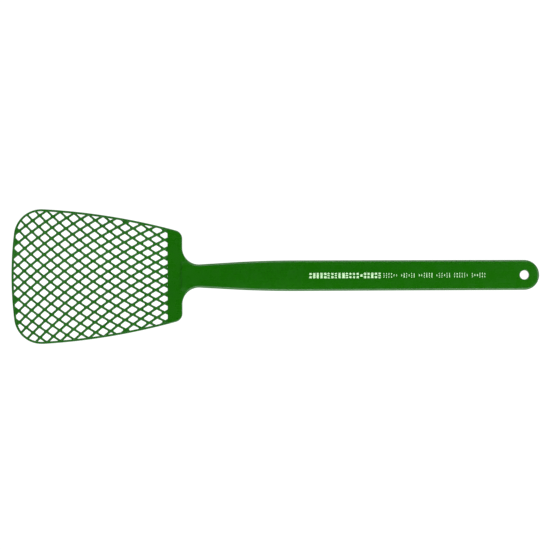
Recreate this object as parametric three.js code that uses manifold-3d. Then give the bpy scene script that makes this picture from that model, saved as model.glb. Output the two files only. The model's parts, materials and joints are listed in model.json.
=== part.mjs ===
// Fly swatter of moulded polypropylene, lying flat on its handle: a stiff handle with a hanging
// hole, a short neck, a thin shoulder band, and a wide flexible blade of crossed ribs in a rim.
//
// Millimetres, +Z up. X runs along the swatter, with the blade at -X and the end of the handle
// at +X. The origin is the middle of the outline, on the surface that the swatter lies on.
// Left and right are as the person holding the handle sees them, looking along -X.

import * as THREE from "three";
import { mergeVertices } from "three/addons/utils/BufferGeometryUtils.js";
import Module from "manifold-3d";

const wasm = await Module();
wasm.setup();

// Whole swatter
const LENGTH = 419;
const TIP_X = -LENGTH / 2;
const HANDLE_END_X = LENGTH / 2;

// Blade outline
const BLADE_WIDTH = 107.2;
const BLADE_ROOT_X = -85.6;
const BLADE_ROOT_HALF_WIDTH = 38.1;
const TIP_RADIUS = 280;
const TIP_CORNER_RADIUS = 22;
const SIDE_RADIUS = 508;
const RIM_WIDTH = 1.8;
const RIM_THICKNESS = 2;

// Lattice of the blade: ribs run diagonally through columns and rows that fan out from a
// point far up the handle, and the columns grow slightly wider towards the handle
const FAN_RADIUS = 565;
const ROW_ANGLE = 0.0081;
const MIDDLE_COLUMN_REACH = 70.7;
const COLUMN_PITCH = 5.95;
const COLUMN_GROWTH = 0.04;
const FIRST_COLUMN = -14;
const LAST_COLUMN = 9;
const FIRST_RIB = -20;
const LAST_RIB = 18;
const FRONT_RIB_WIDTH = 1.9;
const BACK_RIB_WIDTH = 1.7;
const RIB_THICKNESS = 0.75;

// Shoulder band, with a fillet each side down to the neck
const BAND_END_X = -73.8;
const BAND_THICKNESS = 2.2;
const SHOULDER_RADIUS = 7;
const FILLET_RADIUS = 13.1;

// Stiff bar: neck and handle. The neck's thick root ends as a step in the band
const BAR_THICKNESS = 4;
const EDGE_ROUNDING = 1.3;
const NECK_ROOT_X = -75;
const NECK_ROOT_HALF_WIDTH = 10.3;
const NECK_X = -60;
const NECK_HALF_WIDTH = 9.24;
const TAPER_END_X = -28;
const TAPER_END_HALF_WIDTH = 11.1;
const WIDEST_X = 16;
const WIDEST_HALF_WIDTH = 12.17;
const END_RADIUS = 11.9;
const GRIP_START_X = 25;
const GRIP_END_X = 185;
const HOLE_X = 197.6;
const HOLE_DIAMETER = 7.3;

// Clearances: between neighbouring stretches, and each side of the two lines that flex
const GAP = 0.3;
const NECK_FLEX_GAP = 0.3;
const BLADE_FLEX_GAP = 0.35;

// Every stretch lies on one middle plane, half the bar's thickness above the surface
const MIDDLE_Z = BAR_THICKNESS / 2;

const moulding = { roughness: 0.38, metalness: 0 };
const handleGreen = new THREE.MeshStandardMaterial({ color: 0x166400, ...moulding });
const bladeGreen = new THREE.MeshStandardMaterial({ color: 0x145a02, ...moulding });

// ---- plane geometry -------------------------------------------------------------------------

function arc(centre, radius, from, to, segments) {
  return Array.from({ length: segments + 1 }, (_, i) => {
    const angle = from + ((to - from) * i) / segments;
    return new THREE.Vector2(Math.cos(angle), Math.sin(angle)).multiplyScalar(radius).add(centre);
  });
}

function angleFrom(centre, point) {
  return point.clone().sub(centre).angle();
}

// Where two circles cross, on the right-hand side of the line from the first to the second
function crossing(first, firstRadius, second, secondRadius) {
  const line = second.clone().sub(first);
  const span = line.length();
  const along = (firstRadius ** 2 - secondRadius ** 2 + span ** 2) / (2 * span);
  const aside = Math.sqrt(firstRadius ** 2 - along ** 2);
  line.divideScalar(span);
  const normal = new THREE.Vector2(line.y, -line.x);
  return first.clone().addScaledVector(line, along).addScaledVector(normal, aside);
}

function mirrored(points) {
  return points.map((point) => new THREE.Vector2(point.x, -point.y)).reverse();
}

// ---- solids ---------------------------------------------------------------------------------

function solidFrom(geometry) {
  geometry.deleteAttribute("normal");
  geometry.deleteAttribute("uv");
  const merged = mergeVertices(geometry);
  const mesh = new wasm.Mesh({
    numProp: 3,
    vertProperties: merged.attributes.position.array,
    triVerts: new Uint32Array(merged.index.array),
  });
  return new wasm.Manifold(mesh);
}

function geometryFrom(solid) {
  const mesh = solid.getMesh();
  const geometry = new THREE.BufferGeometry();
  geometry.setAttribute("position", new THREE.BufferAttribute(mesh.vertProperties, 3));
  geometry.setIndex(new THREE.BufferAttribute(mesh.triVerts, 1));
  geometry.computeVertexNormals();
  return geometry;
}

// A flat plate with the given outline, between two heights
function plate(outline, bottom, top) {
  const shape = new THREE.Shape(outline);
  const geometry = new THREE.ExtrudeGeometry(shape, { depth: top - bottom, bevelEnabled: false });
  return geometry.translate(0, 0, bottom);
}

// A plate centred on the middle plane
function centredPlate(outline, thickness) {
  return plate(outline, MIDDLE_Z - thickness / 2, MIDDLE_Z + thickness / 2);
}

// A block that reaches past the swatter on every side except its two ends along X
function slice(fromX, toX) {
  const block = new THREE.BoxGeometry(toX - fromX, 2 * BLADE_WIDTH, 4 * BAR_THICKNESS);
  return solidFrom(block.translate((fromX + toX) / 2, 0, MIDDLE_Z));
}

// ---- blade outline --------------------------------------------------------------------------

const rootPoint = new THREE.Vector2(BLADE_ROOT_X, BLADE_ROOT_HALF_WIDTH);
const tipCentre = new THREE.Vector2(TIP_X + TIP_RADIUS, 0);
const cornerCentre = new THREE.Vector2(0, BLADE_WIDTH / 2 - TIP_CORNER_RADIUS);
cornerCentre.x = tipCentre.x - Math.sqrt((TIP_RADIUS - TIP_CORNER_RADIUS) ** 2 - cornerCentre.y ** 2);
const sideCentre = crossing(cornerCentre, SIDE_RADIUS - TIP_CORNER_RADIUS, rootPoint, SIDE_RADIUS);
const tipCornerAngle = angleFrom(tipCentre, cornerCentre);
const cornerSideAngle = angleFrom(sideCentre, cornerCentre);

// Where the side reaches a given X, as an angle about the side's centre
function sideAngle(x, inset) {
  return Math.acos((x - sideCentre.x) / (SIDE_RADIUS - inset));
}

// The right half of the tip and its corner, from the middle of the tip
function tipEdge(inset) {
  return [
    ...arc(tipCentre, TIP_RADIUS - inset, Math.PI, tipCornerAngle, 6),
    ...arc(cornerCentre, TIP_CORNER_RADIUS - inset, tipCornerAngle, cornerSideAngle, 10).slice(1),
  ];
}

// The right side, from the tip's corner, less a gap, to a given X
function sideEdge(inset, toX, gap) {
  const start = cornerSideAngle - gap / SIDE_RADIUS;
  return arc(sideCentre, SIDE_RADIUS - inset, start, sideAngle(toX, inset), 8);
}

// ---- blade ----------------------------------------------------------------------------------

const BLADE_CUT_X = BLADE_ROOT_X - BLADE_FLEX_GAP;

function rimTip() {
  const outer = tipEdge(0);
  const inner = tipEdge(RIM_WIDTH);
  const outerEdge = [...mirrored(outer), ...outer.slice(1)];
  const innerEdge = [...mirrored(inner), ...inner.slice(1)];
  return centredPlate([...outerEdge, ...innerEdge.reverse()], RIM_THICKNESS);
}

function rimRight() {
  const outer = sideEdge(0, BLADE_CUT_X, GAP);
  const inner = sideEdge(RIM_WIDTH, BLADE_CUT_X, GAP);
  return centredPlate([...outer, ...inner.reverse()], RIM_THICKNESS);
}

function rimLeft() {
  const outer = mirrored(sideEdge(0, BLADE_CUT_X, GAP));
  const inner = mirrored(sideEdge(RIM_WIDTH, BLADE_CUT_X, GAP));
  return centredPlate([...outer, ...inner.reverse()], RIM_THICKNESS);
}

// The space inside the rim, clear of it by the gap, as deep as the ribs and more
function rimOpening() {
  const inset = RIM_WIDTH + GAP;
  const edge = [...tipEdge(inset), ...sideEdge(inset, BLADE_CUT_X, 0).slice(1)];
  return solidFrom(centredPlate([...mirrored(edge), ...edge.slice(1)], RIM_THICKNESS));
}

function latticePoint(column, row) {
  const reach = MIDDLE_COLUMN_REACH + COLUMN_PITCH * column + COLUMN_GROWTH * column ** 2;
  const radius = FAN_RADIUS - reach;
  const angle = ROW_ANGLE * row;
  return new THREE.Vector2(
    TIP_X + FAN_RADIUS - radius * Math.cos(angle),
    radius * Math.sin(angle),
  );
}

// The centre line of a rib: it climbs one row with each column. A rib's number is its row
// where it crosses the middle column
function ribLine(number, slope) {
  const points = [];
  for (let column = FIRST_COLUMN; column <= LAST_COLUMN; column += 1) {
    points.push(latticePoint(column, slope * (column - number)));
  }
  return points;
}

// A flat strip of a given width along a line
function stripOutline(line, width) {
  const left = [];
  const right = [];
  line.forEach((point, i) => {
    const before = line[Math.max(i - 1, 0)];
    const after = line[Math.min(i + 1, line.length - 1)];
    const along = after.clone().sub(before).normalize();
    const across = new THREE.Vector2(-along.y, along.x).multiplyScalar(width / 2);
    left.push(point.clone().add(across));
    right.push(point.clone().sub(across));
  });
  return [...right, ...left.reverse()];
}

// Front ribs lie above the middle plane and back ribs below it, so the two layers touch
function rib(number, slope, width, bottom, opening) {
  const outline = stripOutline(ribLine(number, slope), width);
  const strip = solidFrom(plate(outline, bottom, bottom + RIB_THICKNESS));
  return geometryFrom(strip.intersect(opening));
}

// ---- shoulder band and stiff bar -------------------------------------------------------------

// The right edge of the bar, from the root of the neck to the end of the handle
function barEdge() {
  const endCentre = new THREE.Vector2(HANDLE_END_X - END_RADIUS, 0);
  const edge = new THREE.Path();
  edge.moveTo(NECK_ROOT_X, NECK_ROOT_HALF_WIDTH);
  edge.lineTo(NECK_X, NECK_HALF_WIDTH);
  edge.lineTo(TAPER_END_X, TAPER_END_HALF_WIDTH);
  edge.quadraticCurveTo((TAPER_END_X + WIDEST_X) / 2, WIDEST_HALF_WIDTH, WIDEST_X, WIDEST_HALF_WIDTH);
  return [...edge.getPoints(6), ...arc(endCentre, END_RADIUS, Math.PI / 2, 0, 12)];
}

// Neck and handle as one bar with rounded edges and the hanging hole
function stiffBar() {
  const edge = barEdge();
  const shape = new THREE.Shape([...mirrored(edge), ...edge.slice(0, -1)].reverse());
  shape.holes.push(new THREE.Path().absarc(HOLE_X, 0, HOLE_DIAMETER / 2, 0, 2 * Math.PI));
  const geometry = new THREE.ExtrudeGeometry(shape, {
    depth: BAR_THICKNESS - 2 * EDGE_ROUNDING,
    bevelThickness: EDGE_ROUNDING,
    bevelSize: EDGE_ROUNDING,
    bevelOffset: -EDGE_ROUNDING,
    bevelSegments: 3,
    curveSegments: 12,
  });
  return solidFrom(geometry.translate(0, 0, EDGE_ROUNDING));
}

// The band and its fillets, with a slot where the neck's thick root runs into it
function shoulderBand() {
  const shoulderX = BAND_END_X - SHOULDER_RADIUS;
  const reach = SIDE_RADIUS - SHOULDER_RADIUS;
  const shoulderY = sideCentre.y + Math.sqrt(reach ** 2 - (shoulderX - sideCentre.x) ** 2);
  const shoulderCentre = new THREE.Vector2(shoulderX, shoulderY);
  const filletCentre = new THREE.Vector2(BAND_END_X + FILLET_RADIUS, NECK_HALF_WIDTH + FILLET_RADIUS);
  const startX = BLADE_ROOT_X + BLADE_FLEX_GAP;
  const sideEnd = angleFrom(sideCentre, shoulderCentre);
  const edge = [
    ...arc(sideCentre, SIDE_RADIUS, sideAngle(startX, 0), sideEnd, 2),
    ...arc(shoulderCentre, SHOULDER_RADIUS, sideEnd, 0, 6).slice(1),
    ...arc(filletCentre, FILLET_RADIUS, Math.PI, 1.5 * Math.PI, 10),
  ];
  const band = solidFrom(centredPlate([...edge, ...mirrored(edge)], BAND_THICKNESS));
  const slotEdge = [
    new THREE.Vector2(NECK_ROOT_X - GAP, NECK_ROOT_HALF_WIDTH + GAP),
    new THREE.Vector2(NECK_X, NECK_HALF_WIDTH + GAP),
  ];
  const slot = solidFrom(centredPlate([...slotEdge, ...mirrored(slotEdge)], BAR_THICKNESS));
  return geometryFrom(band.subtract(slot));
}

// ---- assembly -------------------------------------------------------------------------------

const swatter = new THREE.Group();

function add(parent, name, geometry, material) {
  const mesh = new THREE.Mesh(geometry, material);
  mesh.name = name;
  parent.add(mesh);
}

function buildHandle() {
  const bar = stiffBar();
  const stretch = (fromX, toX) => geometryFrom(bar.intersect(slice(fromX, toX)));
  const handle = new THREE.Group();
  add(handle, "handle_shaft", stretch(NECK_X + NECK_FLEX_GAP, GRIP_START_X), handleGreen);
  add(handle, "grip_panel", stretch(GRIP_START_X + GAP, GRIP_END_X), handleGreen);
  add(handle, "hanging_end", stretch(GRIP_END_X + GAP, HANDLE_END_X + GAP), handleGreen);
  const shoulder = new THREE.Group();
  add(shoulder, "neck", stretch(NECK_ROOT_X - GAP, NECK_X - NECK_FLEX_GAP), handleGreen);
  add(shoulder, "shoulder_band", shoulderBand(), bladeGreen);
  swatter.add(handle, shoulder);
}

function buildBlade() {
  const blade = new THREE.Group();
  add(blade, "rim_tip", rimTip(), bladeGreen);
  add(blade, "rim_right", rimRight(), bladeGreen);
  add(blade, "rim_left", rimLeft(), bladeGreen);
  const opening = rimOpening();
  for (let number = FIRST_RIB; number <= LAST_RIB; number += 2) {
    const label = String((number - FIRST_RIB) / 2 + 1).padStart(2, "0");
    const front = rib(number, 1, FRONT_RIB_WIDTH, MIDDLE_Z, opening);
    const back = rib(number, -1, BACK_RIB_WIDTH, MIDDLE_Z - RIB_THICKNESS, opening);
    add(blade, `front_rib_${label}`, front, bladeGreen);
    add(blade, `back_rib_${label}`, back, bladeGreen);
  }
  swatter.add(blade);
}

buildHandle();
buildBlade();

export default swatter;
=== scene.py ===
# Looks for a moulded plastic fly swatter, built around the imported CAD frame. Metres, +Z up.
# X runs along the swatter, blade at -X and end of the handle at +X. It lies flat.

import json
import math
import random

import bmesh
import bpy
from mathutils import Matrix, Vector
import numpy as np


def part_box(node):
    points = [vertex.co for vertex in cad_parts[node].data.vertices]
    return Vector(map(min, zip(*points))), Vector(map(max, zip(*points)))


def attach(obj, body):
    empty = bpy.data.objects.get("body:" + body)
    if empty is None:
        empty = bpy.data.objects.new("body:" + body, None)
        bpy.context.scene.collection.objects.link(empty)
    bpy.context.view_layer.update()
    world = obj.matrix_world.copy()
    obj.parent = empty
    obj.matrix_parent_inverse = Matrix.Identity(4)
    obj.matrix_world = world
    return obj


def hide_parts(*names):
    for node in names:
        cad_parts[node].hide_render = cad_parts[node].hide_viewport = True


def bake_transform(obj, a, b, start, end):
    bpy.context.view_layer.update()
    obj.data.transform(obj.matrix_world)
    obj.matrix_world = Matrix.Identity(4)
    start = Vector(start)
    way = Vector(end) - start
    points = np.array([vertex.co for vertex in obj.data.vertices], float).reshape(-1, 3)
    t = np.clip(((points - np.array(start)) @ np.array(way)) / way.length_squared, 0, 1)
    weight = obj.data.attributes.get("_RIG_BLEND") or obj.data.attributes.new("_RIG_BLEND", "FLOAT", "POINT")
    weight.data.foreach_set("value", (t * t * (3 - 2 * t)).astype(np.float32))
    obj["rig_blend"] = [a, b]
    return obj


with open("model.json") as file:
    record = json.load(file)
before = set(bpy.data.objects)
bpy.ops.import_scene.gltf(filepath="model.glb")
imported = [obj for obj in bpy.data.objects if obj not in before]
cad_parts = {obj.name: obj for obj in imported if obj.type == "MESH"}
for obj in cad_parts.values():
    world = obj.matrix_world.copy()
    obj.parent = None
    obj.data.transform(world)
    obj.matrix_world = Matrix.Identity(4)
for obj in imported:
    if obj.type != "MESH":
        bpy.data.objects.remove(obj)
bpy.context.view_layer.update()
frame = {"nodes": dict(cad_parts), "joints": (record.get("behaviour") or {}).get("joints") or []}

MM = 0.001

# ---- places taken from the frame ---------------------------------------------------------------

JOINTS = {joint["name"]: joint for joint in frame["joints"]}
TIP_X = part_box("rim_tip")[0].x
TIP_HALF_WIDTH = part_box("rim_tip")[1].y
ROOT_X = JOINTS["blade_flex"]["pos_m"][0]
NECK_X = JOINTS["neck_flex"]["pos_m"][0]
NECK_ROOT_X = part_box("neck")[0].x
PANEL_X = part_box("grip_panel")[0].x
END_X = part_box("hanging_end")[1].x
MIDDLE_Z = (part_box("grip_panel")[0].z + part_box("grip_panel")[1].z) / 2
INK_THICKNESS = 0.02 * MM
FRONT_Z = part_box("grip_panel")[1].z - INK_THICKNESS
BAR_HALF = FRONT_Z - MIDDLE_Z
BAND_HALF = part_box("shoulder_band")[1].z - MIDDLE_Z
RIM_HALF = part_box("rim_left")[1].z - MIDDLE_Z
RIB_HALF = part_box("front_rib_10")[1].z - MIDDLE_Z

# ---- driving sizes, as in the CAD model --------------------------------------------------------

TIP_RADIUS = 280 * MM
CORNER_RADIUS = 22 * MM
SIDE_RADIUS = 508 * MM
ROOT_HALF_WIDTH = 38.1 * MM
RIM_WIDTH = 1.8 * MM

FAN_RADIUS = 565 * MM
ROW_ANGLE = 0.0081
MIDDLE_COLUMN_REACH = 70.7 * MM
COLUMN_PITCH = 5.95 * MM
COLUMN_GROWTH = 0.04 * MM
COLUMNS = range(-14, 11)
ROWS = range(-14, 15)
FRONT_RIB_WIDTH = 1.9 * MM
BACK_RIB_WIDTH = 1.7 * MM

BAND_END_X = -73.8 * MM
SHOULDER_RADIUS = 7 * MM
FILLET_RADIUS = 13.1 * MM

NECK_HALF_WIDTH = 9.24 * MM
TAPER_END_X = -28 * MM
TAPER_END_HALF_WIDTH = 11.1 * MM
WIDEST_X = 16 * MM
WIDEST_HALF_WIDTH = 12.17 * MM
END_RADIUS = 11.9 * MM
HOLE_X = END_X - END_RADIUS
HOLE_RADIUS = 3.65 * MM

# ---- small geometry helpers --------------------------------------------------------------------

REPEAT_DISTANCE = 0.01 * MM


def mix(a, b, share):
    return a + (b - a) * share


def smooth(value, start, end):
    """0 before start, 1 after end, and a smooth rise between them."""
    share = min(max((value - start) / (end - start), 0), 1)
    return share * share * (3 - 2 * share)


def arc(centre, radius, start, end, segments):
    angles = [mix(start, end, i / segments) for i in range(segments + 1)]
    return [centre + radius * Vector((math.cos(a), math.sin(a))) for a in angles]


def heading(start, end):
    return math.atan2(end.y - start.y, end.x - start.x)


def crossing(first, first_radius, second, second_radius):
    """Where two circles cross, on the right-hand side of the line between their centres."""
    line = second - first
    span = line.length
    along = (first_radius ** 2 - second_radius ** 2 + span ** 2) / (2 * span)
    aside = math.sqrt(first_radius ** 2 - along ** 2)
    line /= span
    return first + along * line + aside * Vector((line.y, -line.x))


def mirrored(points):
    return [Vector((p.x, -p.y)) for p in reversed(points)]


def without_repeats(points):
    kept = [points[0]]
    for point in points[1:]:
        if (point - kept[-1]).length > REPEAT_DISTANCE:
            kept.append(point)
    return kept


def left_normals(points):
    """Unit normals to the left of an open line of points."""
    normals = []
    for i, point in enumerate(points):
        before = points[max(i - 1, 0)]
        after = points[min(i + 1, len(points) - 1)]
        along = (after - before).normalized()
        normals.append(Vector((-along.y, along.x)))
    return normals


# ---- mesh building: strips of four-sided faces, welded where they meet -------------------------

WELD_DISTANCE = 0.002 * MM
SHORTEST_EDGE = 0.001 * MM


class Surface:
    def __init__(self, mesh=None):
        self.mesh = mesh or bmesh.new()
        layers = self.mesh.verts.layers.float
        # each vertex's share of the paler edge colour: partly wear, partly a painted highlight
        self.wear_and_highlight = layers.get("wear_and_highlight") or layers.new("wear_and_highlight")

    def point(self, co, wear_and_highlight=0.0):
        vertex = self.mesh.verts.new(co)
        vertex[self.wear_and_highlight] = wear_and_highlight
        return vertex

    def row(self, points, wear_and_highlight=0.0):
        return [self.point(p, wear_and_highlight) for p in points]

    def strip(self, first, second):
        """Faces between two rows of vertices."""
        for i in range(len(first) - 1):
            self.mesh.faces.new((first[i], first[i + 1], second[i + 1], second[i]))

    def strips(self, rows):
        for first, second in zip(rows, rows[1:]):
            self.strip(first, second)

    def mirror_down(self):
        """Adds the same faces below the middle plane."""
        made = bmesh.ops.duplicate(self.mesh, geom=self.mesh.verts[:] + self.mesh.faces[:])
        for item in made["geom"]:
            if isinstance(item, bmesh.types.BMVert):
                item.co.z = 2 * MIDDLE_Z - item.co.z

    def weld(self):
        bmesh.ops.remove_doubles(self.mesh, verts=self.mesh.verts, dist=WELD_DISTANCE)
        bmesh.ops.dissolve_degenerate(self.mesh, dist=SHORTEST_EDGE, edges=self.mesh.edges)

    def finish(self, name, material):
        self.weld()
        bmesh.ops.recalc_face_normals(self.mesh, faces=self.mesh.faces)
        data = bpy.data.meshes.new(name)
        self.mesh.to_mesh(data)
        self.mesh.free()
        piece = bpy.data.objects.new(name, data)
        bpy.context.scene.collection.objects.link(piece)
        data.materials.append(material)
        for polygon in data.polygons:
            polygon.use_smooth = True
        return piece


def apply_modifiers(piece):
    shape = piece.evaluated_get(bpy.context.evaluated_depsgraph_get())
    data = bpy.data.meshes.new_from_object(shape)
    piece.modifiers.clear()
    piece.data = data


def apply_boolean(piece, other, operation):
    cut = piece.modifiers.new(operation.lower(), "BOOLEAN")
    cut.operation = operation
    cut.object = other
    cut.solver = "MANIFOLD"
    apply_modifiers(piece)
    bpy.data.objects.remove(other)


# ---- materials ---------------------------------------------------------------------------------

HANDLE_DEEP = (0.0042, 0.081, 0.0003, 1)
HANDLE_BRIGHT = (0.0060, 0.093, 0.0005, 1)
BLADE_DEEP = (0.0032, 0.078, 0.0003, 1)
BLADE_BRIGHT = (0.0046, 0.090, 0.0005, 1)
# pale edge green: partly the colour of worn edges, partly a painted highlight on the rounded edges
WORN_AND_HIGHLIGHT_GREEN = (0.05, 0.2, 0.035, 1)
INK = (0.47, 0.73, 0.41, 1)
THIN_INK = (0.2, 0.42, 0.15, 1)
PLASTIC_IOR = 1.49
PLASTIC_GLOSS = 0.28


class Nodes:
    """Short calls for making a material's nodes and links."""

    def __init__(self, name):
        self.material = bpy.data.materials.new(name)
        self.material.use_nodes = True
        self.tree = self.material.node_tree
        self.shader = self.tree.nodes["Principled BSDF"]
        self.place = self.add("ShaderNodeTexCoord").outputs["Object"]

    def add(self, kind, inputs=None, **settings):
        node = self.tree.nodes.new(kind)
        for key, value in settings.items():
            setattr(node, key, value)
        for key, value in (inputs or {}).items():
            if isinstance(value, bpy.types.NodeSocket):
                self.tree.links.new(value, node.inputs[key])
            else:
                node.inputs[key].default_value = value
        return node

    def stretched(self, scale):
        return self.add("ShaderNodeMapping", {"Vector": self.place, "Scale": scale}).outputs[0]

    def noise(self, scale, detail=2.0, vector=None):
        inputs = {"Vector": vector or self.place, "Scale": scale, "Detail": detail}
        return self.add("ShaderNodeTexNoise", inputs).outputs["Fac"]

    def ranged(self, value, from_min, from_max, to_min, to_max):
        inputs = {1: from_min, 2: from_max, 3: to_min, 4: to_max}
        return self.add("ShaderNodeMapRange", {0: value, **inputs}).outputs[0]

    def blend(self, share, first, second):
        node = self.add("ShaderNodeMix", data_type="RGBA")
        for index, value in ((0, share), (6, first), (7, second)):
            if isinstance(value, bpy.types.NodeSocket):
                self.tree.links.new(value, node.inputs[index])
            else:
                node.inputs[index].default_value = value
        return node.outputs[2]

    def math(self, operation, first, second):
        return self.add("ShaderNodeMath", {0: first, 1: second}, operation=operation).outputs[0]

    def bump(self, height, distance, strength=1.0, normal=None):
        inputs = {"Height": height, "Distance": distance, "Strength": strength}
        if normal:
            inputs["Normal"] = normal
        return self.add("ShaderNodeBump", inputs).outputs[0]

    def link(self, output, socket):
        self.tree.links.new(output, self.shader.inputs[socket])


def moulded_green(name, deep, bright):
    """Self-coloured plastic: faint flow marks, a satin skin, fine scuffs, and paler patchy edges that are
    partly wear and partly a painted highlight.
    """
    nodes = Nodes(name)
    flow = nodes.noise(30, 3, nodes.stretched((0.25, 1, 1)))
    grain = nodes.noise(1100, 2)
    scratches = nodes.noise(60, 2, nodes.stretched((0.6, 30, 30)))
    scuffs = nodes.ranged(scratches, 0.6, 0.72, 0, 1)
    wear_and_highlight = nodes.add("ShaderNodeAttribute", attribute_name="wear_and_highlight").outputs["Fac"]
    patchy_wear_and_highlight = nodes.math("MULTIPLY", wear_and_highlight, nodes.ranged(nodes.noise(220, 4), 0.42, 0.62, 0.25, 1))

    colour = nodes.blend(nodes.ranged(flow, 0.3, 0.7, 0, 1), deep, bright)
    colour = nodes.blend(nodes.ranged(grain, 0.35, 0.65, 0, 0.12), colour, bright)
    # paler patches on edges and rib crests: partly wear, partly a painted highlight
    colour = nodes.blend(nodes.math("MULTIPLY", patchy_wear_and_highlight, 0.5), colour, WORN_AND_HIGHLIGHT_GREEN)
    nodes.link(colour, "Base Color")

    rough = nodes.ranged(nodes.noise(160, 3), 0.3, 0.7, 0.22, 0.33)
    rough = nodes.math("ADD", rough, nodes.math("MULTIPLY", scuffs, 0.12))
    rough = nodes.math("ADD", rough, nodes.math("MULTIPLY", patchy_wear_and_highlight, 0.15))
    nodes.link(rough, "Roughness")

    skin = nodes.bump(grain, 0.004 * MM)
    waves = nodes.bump(nodes.noise(70, 1), 0.02 * MM, normal=skin)
    scored = nodes.bump(nodes.math("MULTIPLY", scuffs, -1), 0.004 * MM, normal=waves)
    nodes.link(scored, "Normal")
    nodes.shader.inputs["IOR"].default_value = PLASTIC_IOR
    nodes.shader.inputs["Specular IOR Level"].default_value = PLASTIC_GLOSS
    return nodes.material


def printed_white():
    """Pad-printed white ink: matt and uneven, with the green showing through."""
    nodes = Nodes("white_ink")
    thin = nodes.ranged(nodes.noise(900, 4), 0.52, 0.7, 0, 0.5)
    nodes.link(nodes.blend(thin, INK, THIN_INK), "Base Color")
    nodes.link(nodes.ranged(nodes.noise(1500, 2), 0.3, 0.7, 0.45, 0.6), "Roughness")
    nodes.link(nodes.bump(nodes.noise(2500, 2), 0.003 * MM), "Normal")
    return nodes.material


handle_green = moulded_green("handle_green", HANDLE_DEEP, HANDLE_BRIGHT)
blade_green = moulded_green("blade_green", BLADE_DEEP, BLADE_BRIGHT)
white_ink = printed_white()

# ---- blade outline -----------------------------------------------------------------------------

TIP_CENTRE = Vector((TIP_X + TIP_RADIUS, 0))
corner_y = TIP_HALF_WIDTH - CORNER_RADIUS
corner_x = TIP_CENTRE.x - math.sqrt((TIP_RADIUS - CORNER_RADIUS) ** 2 - corner_y ** 2)
CORNER_CENTRE = Vector((corner_x, corner_y))
ROOT_POINT = Vector((ROOT_X, ROOT_HALF_WIDTH))
SIDE_CENTRE = crossing(CORNER_CENTRE, SIDE_RADIUS - CORNER_RADIUS, ROOT_POINT, SIDE_RADIUS)
TIP_TURN = heading(TIP_CENTRE, CORNER_CENTRE)
CORNER_TURN = heading(SIDE_CENTRE, CORNER_CENTRE)
TIP_STEPS = 24
CORNER_STEPS = 24
SIDE_STEPS = 60


def side_turn(x, inset):
    return math.acos((x - SIDE_CENTRE.x) / (SIDE_RADIUS - inset))


def blade_half_outline(inset, end_x):
    """From the middle of the tip round the corner and along the side to end_x."""
    tip_turn = TIP_TURN % (2 * math.pi)
    end_turn = side_turn(end_x, inset)
    return without_repeats(
        arc(TIP_CENTRE, TIP_RADIUS - inset, math.pi, tip_turn, TIP_STEPS)
        + arc(CORNER_CENTRE, CORNER_RADIUS - inset, TIP_TURN, CORNER_TURN, CORNER_STEPS)
        + arc(SIDE_CENTRE, SIDE_RADIUS - inset, CORNER_TURN, end_turn, SIDE_STEPS)
    )


# ---- rim ---------------------------------------------------------------------------------------

RIM_SIDES = 16
RIM_ROUNDNESS = 0.7
ROOT_OVERLAP = 1.5 * MM


def bulged(value):
    """A cosine or sine pushed outwards, which turns an ellipse into a fuller oval."""
    return math.copysign(abs(value) ** RIM_ROUNDNESS, value)


def make_rim():
    """A rounded bar swept round the blade, with its ends sunk in the shoulder band."""
    surface = Surface()
    half = blade_half_outline(0, ROOT_X + ROOT_OVERLAP)
    outer = mirrored(half) + half[1:]
    normals = [-n for n in left_normals(outer)]
    rows = []
    for point, inward in zip(outer, normals):
        row = []
        for i in range(RIM_SIDES + 1):
            angle = 2 * math.pi * i / RIM_SIDES
            spread = bulged(math.cos(angle))
            at = point + inward * (RIM_WIDTH / 2) * (1 - spread)
            z = MIDDLE_Z + RIM_HALF * bulged(math.sin(angle))
            # the outermost side of the rim takes the paler edge colour: partly wear, partly a painted
            # highlight
            row.append(surface.point((at.x, at.y, z), max(0, spread) ** 2))
        rows.append(row)
    surface.strips(rows)
    for end in (rows[0], rows[-1]):
        surface.mesh.faces.new(end[:-1])
    return surface.finish("moulded_rim", blade_green)


# ---- lattice -----------------------------------------------------------------------------------

RIB_OVERLAP = 0.45 * MM
CELL_FILLET = 0.8 * MM
FILLET_STEPS = 4
NEAR_CROSSING = (0, 0.1, 0.2)
FAR_FROM_CROSSING = (0.35, 0.5, 0.65)
STRAIGHT_OF_HOLE = (0.3, 0.5, 0.7)
RIB_PROFILE = (0, 0.45, 0.8, 0.95, 1)
RIB_FULLNESS = 3
# the paler edge colour on the rib crests, fading to the holes: partly wear, partly a painted highlight
RIB_WEAR_AND_HIGHLIGHT = 0.35
LATTICE_MARGIN = 8 * MM
# a cell whose centre lies further than this outside the rim's inner edge is shut
SLIVER_CENTRE = 1.9 * MM
SHUT = 0.1


def lattice_point(column, row):
    reach = MIDDLE_COLUMN_REACH + COLUMN_PITCH * column + COLUMN_GROWTH * column ** 2
    radius = FAN_RADIUS - reach
    angle = ROW_ANGLE * row
    return Vector((TIP_X + FAN_RADIUS - radius * math.cos(angle), radius * math.sin(angle)))


def inset_corner(before, corner, after, before_inset, after_inset):
    """Where two sides meet after each has moved inwards, on a loop that turns left."""
    first = (corner - before).normalized()
    second = (after - corner).normalized()
    first_normal = Vector((-first.y, first.x))
    second_normal = Vector((-second.y, second.x))
    turn = first.x * second.y - first.y * second.x
    along = (second_normal * after_inset - first_normal * before_inset)
    reach = (along.x * second.y - along.y * second.x) / turn
    return corner + first_normal * before_inset + first * reach


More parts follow.
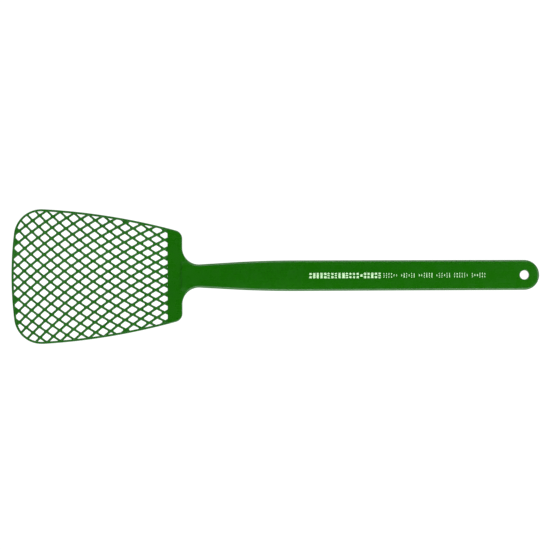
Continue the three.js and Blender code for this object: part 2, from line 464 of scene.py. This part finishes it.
def rounded_corner(before, corner, after):
    """Points of a fillet in place of a corner."""
    back = (before - corner).normalized()
    on = (after - corner).normalized()
    half_angle = math.acos(max(-1, min(1, back.dot(on)))) / 2
    centre = corner + (back + on).normalized() * (CELL_FILLET / math.sin(half_angle))
    reach = CELL_FILLET / math.tan(half_angle)
    start = heading(centre, corner + back * reach)
    sweep = math.pi - 2 * half_angle
    return arc(centre, CELL_FILLET, start, start + sweep, FILLET_STEPS)


def rib_heights(front, side_share):
    """How far a rib rises and falls from the middle plane, at a place along a cell's side."""
    near = 1 - smooth(min(side_share, 1 - side_share), 0, NEAR_CROSSING[-1])
    low = mix(RIB_OVERLAP, RIB_HALF, near)
    return (RIB_HALF, low) if front else (low, RIB_HALF)


def cell_border(corners):
    """Points on the ribs' centre lines round one cell, with each one's rise and fall."""
    shares = NEAR_CROSSING + FAR_FROM_CROSSING + tuple(1 - s for s in reversed(NEAR_CROSSING[1:]))
    border = []
    for side in range(4):
        start, end = corners[side], corners[(side + 1) % 4]
        for share in shares:
            border.append((start.lerp(end, share), *rib_heights(side % 2 == 1, share)))
    return border


def cell_hole(corners):
    """Points round the cell's rounded hole, one for each point of its border."""
    insets = [BACK_RIB_WIDTH / 2, FRONT_RIB_WIDTH / 2] * 2
    inner = [
        inset_corner(corners[i - 1], corners[i], corners[(i + 1) % 4], insets[i - 1], insets[i])
        for i in range(4)
    ]
    fillets = [rounded_corner(inner[i - 1], inner[i], inner[(i + 1) % 4]) for i in range(4)]
    half = FILLET_STEPS // 2
    hole = []
    for side in range(4):
        leaving, arriving = fillets[side][half:], fillets[(side + 1) % 4][:half]
        straight = [leaving[-1].lerp(arriving[0], share) for share in STRAIGHT_OF_HOLE]
        hole += leaving + straight + arriving
    return hole


def beyond(point, edge, outward):
    """How far a point lies outside the rim's inner edge, given along the right half."""
    right = Vector((point.x, abs(point.y)))
    place = min(range(len(edge)), key=lambda i: (edge[i] - right).length)
    return (right - edge[place]).dot(outward[place])


def make_cell(surface, column, row, has_neighbour, is_open):
    corners = [
        lattice_point(column - 1, row),
        lattice_point(column, row - 1),
        lattice_point(column + 1, row),
        lattice_point(column, row + 1),
    ]
    border = cell_border(corners)
    hole = cell_hole(corners)
    if not is_open:
        centre = lattice_point(column, row)
        hole = [centre.lerp(p, SHUT) for p in hole]
    border.append(border[0])
    hole.append(hole[0])
    for sign in (1, -1):
        rows = []
        for share in RIB_PROFILE:
            swell = math.sqrt(1 - share ** RIB_FULLNESS)
            row_points = []
            for (edge, rise, fall), inner in zip(border, hole):
                at = edge.lerp(inner, share)
                height = rise * swell if sign > 0 else -fall * swell
                row_points.append((at.x, at.y, MIDDLE_Z + height))
            rows.append(surface.row(row_points, RIB_WEAR_AND_HIGHLIGHT * (1 - share)))
        surface.strips(rows)
    steps = len(border) // 4
    for side, alone in enumerate(not known for known in has_neighbour):
        if alone:
            part = border[side * steps:(side + 1) * steps + 1]
            surface.strip(
                surface.row([(p.x, p.y, MIDDLE_Z + rise) for p, rise, fall in part]),
                surface.row([(p.x, p.y, MIDDLE_Z - fall) for p, rise, fall in part]),
            )


def prism(name, outline, bottom, top):
    surface = Surface()
    low = surface.row([(p.x, p.y, bottom) for p in outline])
    high = surface.row([(p.x, p.y, top) for p in outline])
    surface.strip(low + low[:1], high + high[:1])
    surface.mesh.faces.new(low)
    surface.mesh.faces.new(high)
    return surface.finish(name, blade_green)


def make_lattice():
    """One fused net of crossing ribs, trimmed at rim and band, with slivers of cells shut."""
    surface = Surface()
    edge = blade_half_outline(RIM_WIDTH, ROOT_X)
    outward = left_normals(edge)

    def inside(point):
        across = abs(point.y) < TIP_HALF_WIDTH + LATTICE_MARGIN
        return across and TIP_X - LATTICE_MARGIN < point.x < ROOT_X + LATTICE_MARGIN

    def in_net(column, row):
        known = column in COLUMNS and row in ROWS
        return known and (column + row) % 2 == 1 and inside(lattice_point(column, row))

    for column in COLUMNS:
        for row in ROWS:
            if not in_net(column, row):
                continue
            around = ((-1, -1), (1, -1), (1, 1), (-1, 1))
            has_neighbour = [in_net(column + c, row + r) for c, r in around]
            is_open = beyond(lattice_point(column, row), edge, outward) < SLIVER_CENTRE
            make_cell(surface, column, row, has_neighbour, is_open)
    lattice = surface.finish("moulded_lattice", blade_green)
    half = blade_half_outline(RIM_WIDTH / 2, ROOT_X + ROOT_OVERLAP)
    space = prism("rim_space", mirrored(half) + half[1:], MIDDLE_Z - BAR_HALF, MIDDLE_Z + BAR_HALF)
    apply_boolean(lattice, space, "INTERSECT")
    return lattice


# ---- handle, neck and shoulder band: one skin --------------------------------------------------

EDGE_STEPS = 7
WITNESS = 0.02
ACROSS_STEPS = 16
END_STEPS = 28
HOLE_STEPS = 5
PATCH_X = -55 * MM
FINE_END_X = -20 * MM
FINE_STEPS = 35
COARSE_STEPS = 54
HOLE_ROUNDING = 0.7 * MM
OVAL_POWER = 2.4
CROWN = 0.5
STEP_RUN = 0.7 * MM
SEAM_X = NECK_ROOT_X - 0.3 * MM
CREASE_ANGLE = math.radians(42)
CROWN_FADE = 20 * MM
WEB_RUN = 10 * MM
WEB_INNER_Y = 8.5 * MM
WEB_OUTER_Y = 12.5 * MM
GRID_PITCH_X = 1.1 * MM
GRID_GAP_Y = 1.2 * MM
GRID_PITCH_Y = 1.6 * MM

# The rounded edge from the middle plane up, as shares of the half thickness: a fine witness
# line where the mould parts, then a quarter round
EDGE_TURNS = [i * math.pi / 2 / EDGE_STEPS for i in range(1, EDGE_STEPS + 1)]
EDGE = [(0, 0), (0, 0.03), (WITNESS, 0.05)]
EDGE += [(mix(1, WITNESS, math.cos(turn)), math.sin(turn)) for turn in EDGE_TURNS]
# how much of the paler edge colour each line of the edge takes, most low on the side: partly wear, partly a
# painted highlight
EDGE_WEAR_AND_HIGHLIGHT = (1, 1, 1, 1, 0.8, 0.4, 0.1, 0, 0, 0)


def bar_half_width(x):
    if x < NECK_X:
        return NECK_HALF_WIDTH
    if x < TAPER_END_X:
        return mix(NECK_HALF_WIDTH, TAPER_END_HALF_WIDTH, (x - NECK_X) / (TAPER_END_X - NECK_X))
    if x < WIDEST_X:
        left = 1 - (x - TAPER_END_X) / (WIDEST_X - TAPER_END_X)
        return mix(WIDEST_HALF_WIDTH, TAPER_END_HALF_WIDTH, left ** 2)
    return mix(WIDEST_HALF_WIDTH, END_RADIUS, (x - WIDEST_X) / (HOLE_X - WIDEST_X))


def bar_height(x, inset, rounded=BAR_HALF):
    """Height of the bar's face over the middle plane, crowned from the neck up to the panel."""
    across = 1 - inset / bar_half_width(x)
    oval = BAR_HALF * math.sqrt(1 - across ** OVAL_POWER)
    crown = CROWN * smooth(x, PATCH_X, PATCH_X / 2)
    crown *= 1 - smooth(x, PANEL_X - CROWN_FADE, PANEL_X)
    return mix(rounded, oval, crown)


def edge_point(x, share, rise):
    """Distance in from the bar's side, and height over the middle plane, at a place on its edge."""
    inset = share * BAR_HALF
    return inset, bar_height(x, inset, rise * BAR_HALF)


def cross_points(x):
    """A row over the bar's face, between its rounded edges."""
    flat = bar_half_width(x) - BAR_HALF
    across = [mix(flat, -flat, i / ACROSS_STEPS) for i in range(ACROSS_STEPS + 1)]
    return [Vector((x, y, MIDDLE_Z + bar_height(x, bar_half_width(x) - abs(y)))) for y in across]


def bar_stations():
    """Places of the bar's rows, closer together where the neck bends."""
    fine = [mix(PATCH_X, FINE_END_X, i / FINE_STEPS) for i in range(FINE_STEPS + 1)]
    coarse = [mix(FINE_END_X, HOLE_X, i / COARSE_STEPS) for i in range(1, COARSE_STEPS + 1)]
    return fine + coarse


def add_edges_with_wear_and_highlight(surface, rows):
    """Rounded edge strips, each row running from the middle plane up to the face, paler low on the side:
    partly wear, partly a painted highlight.
    """
    made = [surface.row(row) for row in rows]
    for row in made:
        for vertex, worn_and_highlit in zip(row, EDGE_WEAR_AND_HIGHLIGHT):
            vertex[surface.wear_and_highlight] = worn_and_highlit
    surface.strips(made)


def add_bar(surface, stations, panel_end):
    for side in (1, -1):
        rows = []
        for x in stations:
            places = [edge_point(x, *step) for step in EDGE]
            rows.append([(x, side * (bar_half_width(x) - s), MIDDLE_Z + h) for s, h in places])
        add_edges_with_wear_and_highlight(surface, rows)
    surface.strips([surface.row(cross_points(x)) for x in stations if x <= panel_end])


def add_round_end(surface, stations, panel_end):
    """The rounded end, and rings from its edge and the last straight row in to the hole."""
    hole = Vector((HOLE_X, 0, FRONT_Z))
    middle = Vector((HOLE_X, 0, MIDDLE_Z))
    turn = [math.pi / 2 - i * math.pi / END_STEPS for i in range(END_STEPS + 1)]
    rays = [Vector((math.cos(angle), math.sin(angle), 0)) for angle in turn]
    add_edges_with_wear_and_highlight(surface, [
        [middle + (END_RADIUS - share * BAR_HALF) * ray + Vector((0, 0, rise * BAR_HALF))
         for share, rise in EDGE]
        for ray in rays
    ])
    late = [x for x in stations if panel_end < x < HOLE_X]
    near_side = [Vector((x, bar_half_width(x) - BAR_HALF, FRONT_Z)) for x in late]
    far_side = [Vector((p.x, -p.y, p.z)) for p in near_side]
    border = cross_points(panel_end) + far_side
    border += [hole + (END_RADIUS - BAR_HALF) * ray for ray in reversed(rays)]
    border += list(reversed(near_side))
    border.append(border[0])
    outward = [(p - hole).normalized() for p in border]
    rim = [hole + (HOLE_RADIUS + HOLE_ROUNDING) * d for d in outward]
    rings = [[b.lerp(r, share) for b, r in zip(border, rim)] for share in (0, 0.3, 0.6, 0.85, 1)]
    for step in range(1, HOLE_STEPS + 1):
        angle = step * math.pi / 2 / HOLE_STEPS
        reach = HOLE_RADIUS + HOLE_ROUNDING * (1 - math.sin(angle))
        drop = Vector((0, 0, HOLE_ROUNDING * (1 - math.cos(angle))))
        rings.append([hole + reach * d - drop for d in outward])
    rings.append([Vector((p.x, p.y, MIDDLE_Z)) for p in rings[-1]])
    surface.strips([surface.row(ring) for ring in rings])


def raised(x, y):
    """How far the skin has risen from band to neck: a step in the middle, a ramp each side."""
    side = smooth(abs(y), WEB_INNER_Y, WEB_OUTER_Y)
    ramp = smooth(x, BAND_END_X, BAND_END_X + WEB_RUN)
    return (1 - side * (1 - ramp)) * smooth(x, NECK_ROOT_X, NECK_ROOT_X + STEP_RUN)


def half_thickness(x, y):
    return mix(BAND_HALF, BAR_HALF, raised(x, y))


def shoulder_outline():
    """Round the right side, from the band's blade edge to the neck."""
    shoulder_x = BAND_END_X - SHOULDER_RADIUS
    reach = SIDE_RADIUS - SHOULDER_RADIUS
    shoulder_y = SIDE_CENTRE.y + math.sqrt(reach ** 2 - (shoulder_x - SIDE_CENTRE.x) ** 2)
    shoulder = Vector((shoulder_x, shoulder_y))
    fillet = Vector((BAND_END_X + FILLET_RADIUS, NECK_HALF_WIDTH + FILLET_RADIUS))
    turn = heading(SIDE_CENTRE, shoulder)
    neck = [mix(fillet.x, PATCH_X, i / 6) for i in range(1, 7)]
    return without_repeats(
        arc(SIDE_CENTRE, SIDE_RADIUS, side_turn(ROOT_X, 0), turn, 8)
        + arc(shoulder, SHOULDER_RADIUS, turn, 0, 16)
        + [Vector((BAND_END_X, mix(shoulder_y, fillet.y, i / 8))) for i in range(1, 8)]
        + arc(fillet, FILLET_RADIUS, math.pi, 1.5 * math.pi, 24)
        + [Vector((x, bar_half_width(x))) for x in neck]
    )


def shoulder_edge(half, share, rise):
    """One line of the band's rounded edge: places, and heights over the middle plane."""
    line = []
    for point, normal in zip(half, left_normals(half)):
        thickness = half_thickness(*point)
        height = rise * half_thickness(*(point - normal * thickness))
        line.append((point - normal * thickness * share, height))
    start, end = line[0], line[-1]
    line[0] = (Vector((ROOT_X + 0.3 * share * BAND_HALF, start[0].y)), start[1])
    line[-1] = (Vector((PATCH_X, bar_half_width(PATCH_X) - share * BAR_HALF)), end[1])
    return line


def add_shoulder(surface):
    """The band, the webs and the neck's root: rounded edges, and a face cut into a fine grid."""
    half = shoulder_outline()
    right, left = [], []
    for (share, rise), worn_and_highlit in zip(EDGE, EDGE_WEAR_AND_HIGHLIGHT):
        line = shoulder_edge(half, share, rise)
        right.append(surface.row([(p.x, p.y, MIDDLE_Z + h) for p, h in line], worn_and_highlit))
        left.append(surface.row([(p.x, -p.y, MIDDLE_Z + h) for p, h in line], worn_and_highlit))
    surface.strips(right)
    surface.strips(left)
    surface.strips([[a[0], b[0]] for a, b in zip(right, left)])

    neck_row = [surface.point(p) for p in cross_points(PATCH_X)[1:-1]]
    face = surface.mesh.faces.new(right[-1] + neck_row + list(reversed(left[-1])))
    grid = [(Vector((x, 0, 0)), Vector((1, 0, 0))) for x in grid_columns()]
    grid += [(Vector((0, y, 0)), Vector((0, 1, 0))) for y in grid_rows(neck_row)]
    inner = [face, *face.edges, *face.verts]
    for place, direction in grid:
        cut = bmesh.ops.bisect_plane(
            surface.mesh, geom=inner, dist=WELD_DISTANCE, plane_co=place, plane_no=direction)
        inner = cut["geom"]
    for item in inner:
        if isinstance(item, bmesh.types.BMVert):
            share = raised(item.co.x, item.co.y)
            item.co.z = MIDDLE_Z + mix(BAND_HALF, BAR_HALF, share)
            # the middle of the step from band to neck takes some paler edge colour: partly wear, partly a
            # painted highlight
            item[surface.wear_and_highlight] = max(item[surface.wear_and_highlight], share * (1 - share))


def grid_columns():
    """Places of the face's cuts across the band and the neck's root."""
    near_root = [ROOT_X + GRID_PITCH_X * i for i in range(1, 10)]
    step = [NECK_ROOT_X + STEP_RUN * i / 8 for i in range(9)]
    near_neck = [mix(step[-1], PATCH_X, i / 18) for i in range(1, 18)]
    return near_root + step + near_neck


def grid_rows(neck_row):
    """Places of the face's cuts along it: the neck's own rows, and more out to the sides."""
    inner = [vertex.co.y for vertex in neck_row]
    edge = inner[0] + GRID_GAP_Y
    outer = [edge + GRID_PITCH_Y * i for i in range(19)]
    return inner + outer + [-y for y in outer]


EJECTOR_X = (-40 * MM, 5 * MM, 50 * MM, 95 * MM, 140 * MM, 180 * MM)
EJECTOR_RADIUS = 2.6 * MM
EJECTOR_DEPTH = 0.12 * MM
GATE_X = -12 * MM
GATE_RADIUS = 3.4 * MM
GATE_DEPTH = 0.45 * MM
STUB_RADIUS = 0.9 * MM
STUB_BOTTOM = 0.1 * MM
STUB_SUNK = 0.2 * MM


def disc(x, radius, bottom, top):
    outline = arc(Vector((x, 0)), radius, 0, 2 * math.pi, 40)[:-1]
    return prism("disc", outline, bottom, top)


def mark_underside(handle):
    """Shallow marks of the mould's ejector pins, and a dimple with the stub of the gate in it."""
    below = -BAR_HALF
    for x in EJECTOR_X:
        apply_boolean(handle, disc(x, EJECTOR_RADIUS, below, EJECTOR_DEPTH), "DIFFERENCE")
    apply_boolean(handle, disc(GATE_X, GATE_RADIUS, below, GATE_DEPTH), "DIFFERENCE")
    stub = disc(GATE_X, STUB_RADIUS, STUB_BOTTOM, GATE_DEPTH + STUB_SUNK)
    apply_boolean(handle, stub, "UNION")


def cut_off(surface, keep_handle):
    """Keeps the skin on one side of the seam between bar and band, and closes it there."""
    mesh = surface.mesh
    everything = mesh.verts[:] + mesh.edges[:] + mesh.faces[:]
    cut = bmesh.ops.bisect_plane(
        mesh, geom=everything, dist=WELD_DISTANCE, plane_co=(SEAM_X, 0, 0), plane_no=(1, 0, 0),
        clear_inner=keep_handle, clear_outer=not keep_handle)
    loop = [item for item in cut["geom_cut"] if isinstance(item, bmesh.types.BMEdge)]
    bmesh.ops.holes_fill(mesh, edges=loop)


def make_handle_and_band():
    surface = Surface()
    stations = bar_stations()
    panel_end = max(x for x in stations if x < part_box("hanging_end")[0].x)
    add_bar(surface, stations, panel_end)
    add_round_end(surface, stations, panel_end)
    add_shoulder(surface)
    surface.mirror_down()
    surface.weld()
    other = Surface(surface.mesh.copy())
    cut_off(surface, True)
    cut_off(other, False)
    handle = surface.finish("moulded_handle", handle_green)
    mark_underside(handle)
    band = other.finish("moulded_band", handle_green)
    for piece in (handle, band):
        piece.data.set_sharp_from_angle(angle=CREASE_ANGLE)
    return handle, band


# ---- print -------------------------------------------------------------------------------------

PRINT_START_X = PANEL_X + 1.7 * MM
BLOCK_CORNER = 0.2 * MM
BLOCK_SIDES = 4
PRINT_SEED = 7
PRINT_GAP = 1.3 * MM
# for each run: blocks, blocks to a group, length, height, and how much of the pitch is filled
PRINT_RUNS = ((20, 20, 57.5 * MM, 4.3 * MM, 0.68), (36, 6, 82 * MM, 3.7 * MM, 0.32))
# where the blocks of one stack start and end, as shares of the height
STACKS = (((0, 1),), ((0, 0.4), (0.62, 1)), ((0.28, 0.72),), ((0, 0.24), (0.38, 0.62), (0.76, 1)))


def ink_block(surface, low_corner, high_corner):
    """A thin flat block of ink with rounded corners, on the front of the handle."""
    inset = Vector((BLOCK_CORNER, BLOCK_CORNER))
    low, high = low_corner + inset, high_corner - inset
    turns = [(high.x, high.y), (low.x, high.y), (low.x, low.y), (high.x, low.y)]
    outline = []
    for quarter_turn, centre in enumerate(turns):
        start = quarter_turn * math.pi / 2
        outline += arc(Vector(centre), BLOCK_CORNER, start, start + math.pi / 2, BLOCK_SIDES)
    under = surface.row([(p.x, p.y, FRONT_Z - INK_THICKNESS) for p in outline])
    over = surface.row([(p.x, p.y, FRONT_Z + INK_THICKNESS) for p in outline])
    surface.strip(under + under[:1], over + over[:1])
    surface.mesh.faces.new(under)
    surface.mesh.faces.new(over)


def make_print():
    """Two plain runs of stacked blocks, bold and then fine, in an order that spells nothing."""
    surface = Surface()
    draw = random.Random(PRINT_SEED)
    x = PRINT_START_X
    for count, group, length, height, fill in PRINT_RUNS:
        pitch = length / (count + (count - 1) // group)
        for place in range(count):
            width = draw.uniform(0.85, 1.15) * fill * pitch
            start = x + pitch * (place + place // group)
            for low, high in draw.choice(STACKS):
                ink_block(surface, Vector((start, (low - 0.5) * height)),
                          Vector((start + width, (high - 0.5) * height)))
        x += length + PRINT_GAP
    return surface.finish("handle_print", white_ink)


# ---- assembly ----------------------------------------------------------------------------------

# each bend is centred on its joint; the bar and the band meet between the two bends
NECK_BEND = {"start": (2 * NECK_X - BAND_END_X, 0, MIDDLE_Z), "end": (BAND_END_X, 0, MIDDLE_Z)}
BLADE_BEND = {"start": (SEAM_X, 0, MIDDLE_Z), "end": (2 * ROOT_X - SEAM_X, 0, MIDDLE_Z)}

handle, band = make_handle_and_band()
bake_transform(handle, "handle", "shoulder", **NECK_BEND)
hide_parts("handle_shaft", "grip_panel", "hanging_end", "neck")

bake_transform(band, "shoulder", "blade", **BLADE_BEND)
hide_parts("shoulder_band")

rim = make_rim()
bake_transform(rim, "shoulder", "blade", **BLADE_BEND)
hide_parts("rim_tip", "rim_left", "rim_right")

lattice = make_lattice()
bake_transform(lattice, "shoulder", "blade", **BLADE_BEND)
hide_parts(*[name for name in frame["nodes"] if "_rib_" in name])

ink = make_print()
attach(ink, "handle")

# ---- floor, light and camera -------------------------------------------------------------------

FLOOR_Z = -0.12
FLOOR_REACH = 15
FLOOR_GLOW = 0.985
CAMERA_LENS = 100
CAMERA_SENSOR = 36
VIEW_WIDTH = 0.436
VIEW_CENTRE = (-0.00025, 0.0006)
ROLL = math.radians(-0.2)
# brightness of the room by the height of the direction: level up to 0.6, then darker overhead
ROOM = {"From Min": 0.6, "From Max": 0.94, "To Min": 0.4, "To Max": 0.02}


def make_floor():
    """A wide pale floor that glows like a light table, so that it is even and shows no shadow."""
    surface = Surface()
    corners = [(-FLOOR_REACH, -FLOOR_REACH), (FLOOR_REACH, -FLOOR_REACH),
               (FLOOR_REACH, FLOOR_REACH), (-FLOOR_REACH, FLOOR_REACH)]
    surface.mesh.faces.new(surface.row([(x, y, FLOOR_Z) for x, y in corners]))
    nodes = Nodes("floor_white")
    tone = nodes.ranged(nodes.noise(3, 2), 0.3, 0.7, 0, 1)
    nodes.link(nodes.blend(tone, (0.05, 0.05, 0.05, 1), (0.06, 0.06, 0.06, 1)), "Base Color")
    nodes.shader.inputs["Roughness"].default_value = 0.9
    nodes.shader.inputs["Specular IOR Level"].default_value = 0.1
    nodes.shader.inputs["Emission Color"].default_value = (1, 1, 1, 1)
    nodes.shader.inputs["Emission Strength"].default_value = FLOOR_GLOW
    surface.finish("floor", nodes.material)


def soft_light(name, place, size, power):
    lamp = bpy.data.lights.new(name, "AREA")
    lamp.shape = "RECTANGLE"
    lamp.size, lamp.size_y = size
    lamp.energy = power
    light = bpy.data.objects.new(name, lamp)
    bpy.context.scene.collection.objects.link(light)
    light.location = place
    light.rotation_euler = (-Vector(place)).to_track_quat("-Z", "Y").to_euler()


def make_world():
    """A plain white backdrop in a softer room, which is dark overhead where the camera stands."""
    world = bpy.data.worlds.new("studio")
    world.use_nodes = True
    tree = world.node_tree
    background = tree.nodes["Background"]
    direction = tree.nodes.new("ShaderNodeTexCoord").outputs["Generated"]
    split = tree.nodes.new("ShaderNodeSeparateXYZ")
    room = tree.nodes.new("ShaderNodeMapRange")
    room.interpolation_type = "SMOOTHSTEP"
    for name, value in ROOM.items():
        room.inputs[name].default_value = value
    seen = tree.nodes.new("ShaderNodeLightPath").outputs["Is Camera Ray"]
    backdrop = tree.nodes.new("ShaderNodeMix")
    backdrop.inputs["B"].default_value = 1
    tree.links.new(direction, split.inputs[0])
    tree.links.new(split.outputs["Z"], room.inputs[0])
    tree.links.new(room.outputs[0], backdrop.inputs["A"])
    tree.links.new(seen, backdrop.inputs["Factor"])
    tree.links.new(backdrop.outputs[0], background.inputs["Strength"])
    background.inputs["Color"].default_value = (1, 1, 1, 1)
    bpy.context.scene.world = world


def make_camera():
    data = bpy.data.cameras.new("camera")
    data.lens = CAMERA_LENS
    data.sensor_width = CAMERA_SENSOR
    camera = bpy.data.objects.new("camera", data)
    bpy.context.scene.collection.objects.link(camera)
    distance = VIEW_WIDTH * CAMERA_LENS / CAMERA_SENSOR
    camera.location = (*VIEW_CENTRE, FRONT_Z + distance)
    camera.rotation_euler = (0, 0, ROLL)
    bpy.context.scene.camera = camera


make_floor()
make_world()
soft_light("key", (0.1, -1.3, 0.9), (1.8, 0.8), 36)
soft_light("fill", (-0.2, 1.3, 0.8), (1.8, 0.8), 24)
soft_light("end", (1.5, 0.1, 0.9), (0.8, 1.2), 12)
make_camera()
bpy.context.scene.view_settings.view_transform = "Standard"
